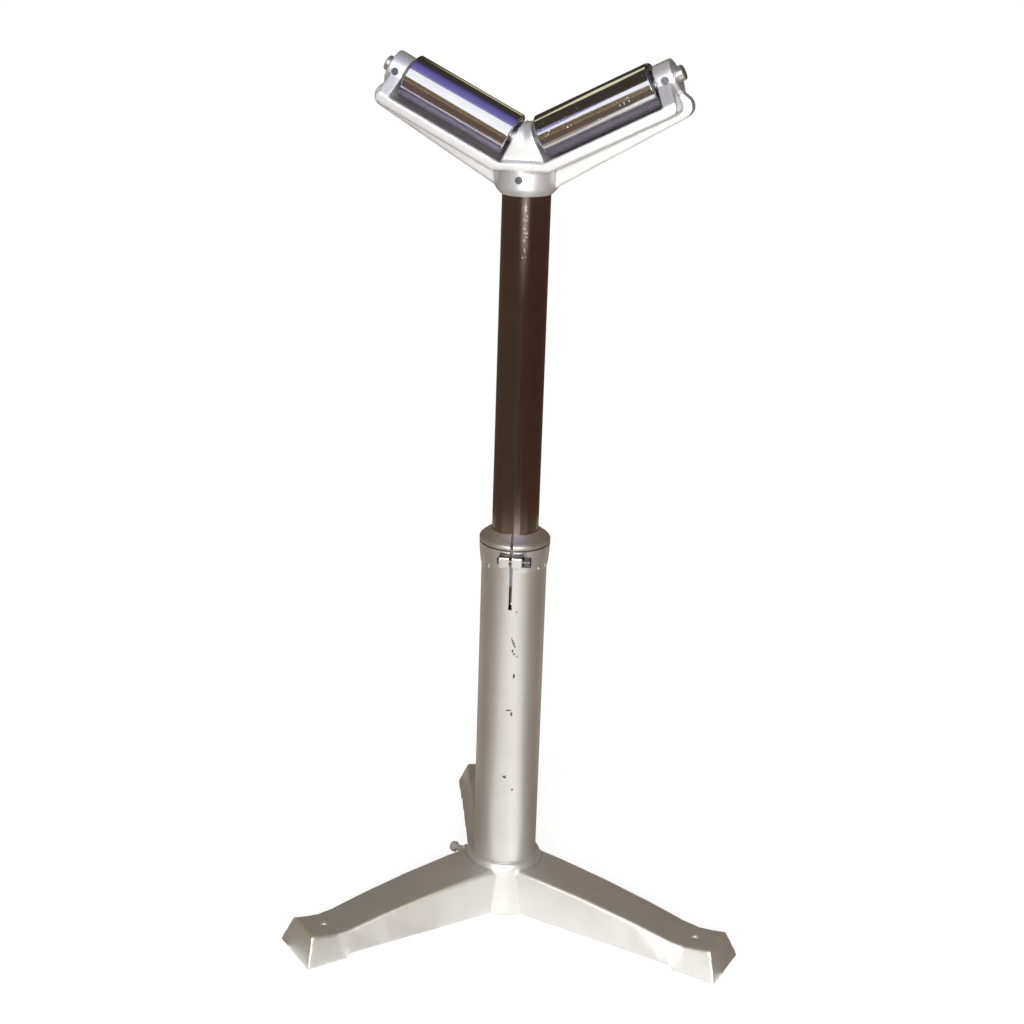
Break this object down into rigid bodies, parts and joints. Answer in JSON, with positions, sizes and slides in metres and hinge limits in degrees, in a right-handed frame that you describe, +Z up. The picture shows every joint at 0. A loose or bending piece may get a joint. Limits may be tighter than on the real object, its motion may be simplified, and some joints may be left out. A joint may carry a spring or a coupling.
{
  "type": "roller stand",
  "caption": "Height-adjustable V-head roller stand: two inclined steel rollers in a cast yoke on a telescopic pole, clamped in a column on a cast tripod base.",
  "frame": {"origin": "Centre of the bounding box at floor level, between the feet; the column axis stands behind the front legs at y = -0.058 m.", "axes": "+Z up along the column, +Y towards the rear leg, +X to the right as seen from the front; the front legs point to -Y on both sides."},
  "size_m": [0.5406, 0.4694, 1.0315],
  "materials": {
    "cast_base": "silver-grey metallic paint on a sand casting",
    "painted_steel": "silver metallic paint, chipped",
    "dark_steel": "polished drawn tube, dark and oiled",
    "cast_aluminium": "bright cast aluminium",
    "chrome_steel": "ground and chromed",
    "bright_steel": "machined steel",
    "black_steel": "black oxide",
    "nylon": "moulded grey nylon"
  },
  "bodies": {
    "stand": {"base_casting": "cast_base", "hub_lock_bolt": "bright_steel", "hub_lock_nut": "bright_steel", "column_tube": "painted_steel", "clamp_sleeve": "nylon", "clamp_collar": "painted_steel"},
    "clamp": {"clamp_screw": "black_steel", "clamp_washer": "black_steel"},
    "guide": {"pole_guide": "nylon"},
    "pole": {"pole_tube": "dark_steel", "pole_end_plug": "bright_steel", "pole_stop_ring": "bright_steel", "head_yoke": "cast_aluminium", "head_set_screw": "black_steel", "left_axle": "bright_steel", "left_axle_screw": "black_steel", "left_near_inner_ring": "bright_steel", "left_far_inner_ring": "bright_steel", "left_spacer": "bright_steel", "left_near_washer": "bright_steel", "left_far_washer": "bright_steel", "right_axle": "bright_steel", "right_axle_screw": "black_steel", "right_near_inner_ring": "bright_steel", "right_far_inner_ring": "bright_steel", "right_spacer": "bright_steel", "right_near_washer": "bright_steel", "right_far_washer": "bright_steel"},
    "roller_left": {"left_roller": "chrome_steel", "left_near_outer_ring": "bright_steel", "left_far_outer_ring": "bright_steel", "left_near_balls": "bright_steel", "left_far_balls": "bright_steel"},
    "roller_right": {"right_roller": "chrome_steel", "right_near_outer_ring": "bright_steel", "right_far_outer_ring": "bright_steel", "right_near_balls": "bright_steel", "right_far_balls": "bright_steel"}
  },
  "joints": [
    {"name": "height_slide", "type": "slide", "parent": "stand", "child": "guide", "axis": [0, 0, 1], "range_m": [-0.34, 0.033]},
    {"name": "pole_swivel", "type": "hinge", "parent": "guide", "child": "pole", "pos_m": [0, -0.05762, 0.5], "axis": [0, 0, 1], "continuous": true},
    {"name": "left_roller_spin", "type": "hinge", "parent": "pole", "child": "roller_left", "pos_m": [0, -0.05762, 0.934], "axis": [-0.8425, 0.2901, 0.454], "continuous": true},
    {"name": "right_roller_spin", "type": "hinge", "parent": "pole", "child": "roller_right", "pos_m": [0, -0.05762, 0.934], "axis": [0.8425, -0.2901, 0.454], "continuous": true},
    {"name": "clamp_screw_turn", "type": "hinge", "parent": "stand", "child": "clamp", "pos_m": [-0.00679, -0.10595, 0.4655], "axis": [0.9903, -0.1392, 0], "range_deg": [0, 360]}
  ]
}
